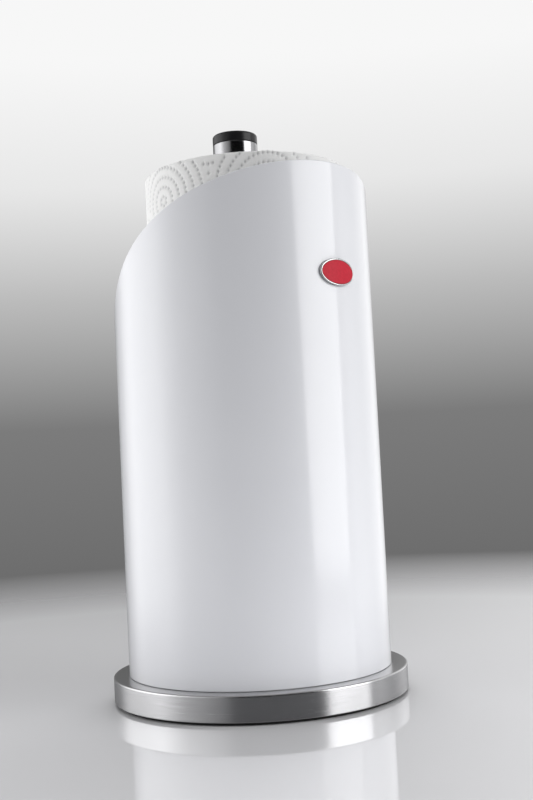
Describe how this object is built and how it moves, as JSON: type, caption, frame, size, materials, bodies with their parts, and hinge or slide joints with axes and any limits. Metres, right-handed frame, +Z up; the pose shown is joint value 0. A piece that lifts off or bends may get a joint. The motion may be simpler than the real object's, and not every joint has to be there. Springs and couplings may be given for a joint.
{
  "type": "paper towel holder",
  "caption": "Countertop paper towel holder: steel post on a weighted round base, with a white arched shell round the roll and a slot at the back for the paper.",
  "frame": {"origin": "on the counter, at the centre of the base's underside, on the post's axis", "axes": "+Z up along the post, -Y towards the badge and the shell's highest point, +Y towards the slot"},
  "size_m": [0.16, 0.16, 0.31],
  "materials": {
    "brushed_steel": "satin",
    "zinc_steel": "satin",
    "ballast_iron": "matte",
    "white_enamel": "gloss",
    "black_plastic": "satin",
    "black_rubber": "matte",
    "towel_paper": "matte",
    "grey_board": "matte",
    "badge_steel": "polished",
    "red_enamel": "gloss"
  },
  "bodies": {
    "root": {"base_cover": "brushed_steel", "ballast_disc": "ballast_iron", "closing_plate": "black_plastic", "anti_slip_mat": "black_rubber", "closing_screw_1": "zinc_steel", "closing_screw_2": "zinc_steel", "closing_screw_3": "zinc_steel", "post_tube": "brushed_steel", "post_cap": "black_plastic", "post_foot": "zinc_steel", "post_bolt": "zinc_steel", "post_washer": "zinc_steel", "post_spring_washer": "zinc_steel", "roll_seat": "black_plastic", "shell": "white_enamel", "shell_bracket_front_left": "zinc_steel", "shell_bracket_front_right": "zinc_steel", "shell_bracket_back_left": "zinc_steel", "shell_bracket_back_right": "zinc_steel", "shell_screw_front_left": "zinc_steel", "shell_screw_front_right": "zinc_steel", "shell_screw_back_left": "zinc_steel", "shell_screw_back_right": "zinc_steel", "badge_plate": "badge_steel", "badge_enamel": "red_enamel", "push_nut_left": "zinc_steel", "push_nut_right": "zinc_steel"},
    "roll_core": {"cardboard_core": "grey_board"},
    "towel_roll": {"paper_roll": "towel_paper"}
  },
  "joints": [
    {"name": "roll_lift", "type": "slide", "parent": "root", "child": "roll_core", "axis": [0, 0, 1], "range_m": [0, 0.295]},
    {"name": "roll_spin", "type": "hinge", "parent": "roll_core", "child": "towel_roll", "pos_m": [-0.00104, -0.00844, 0.1528], "axis": [0, 0, 1], "continuous": true}
  ]
}
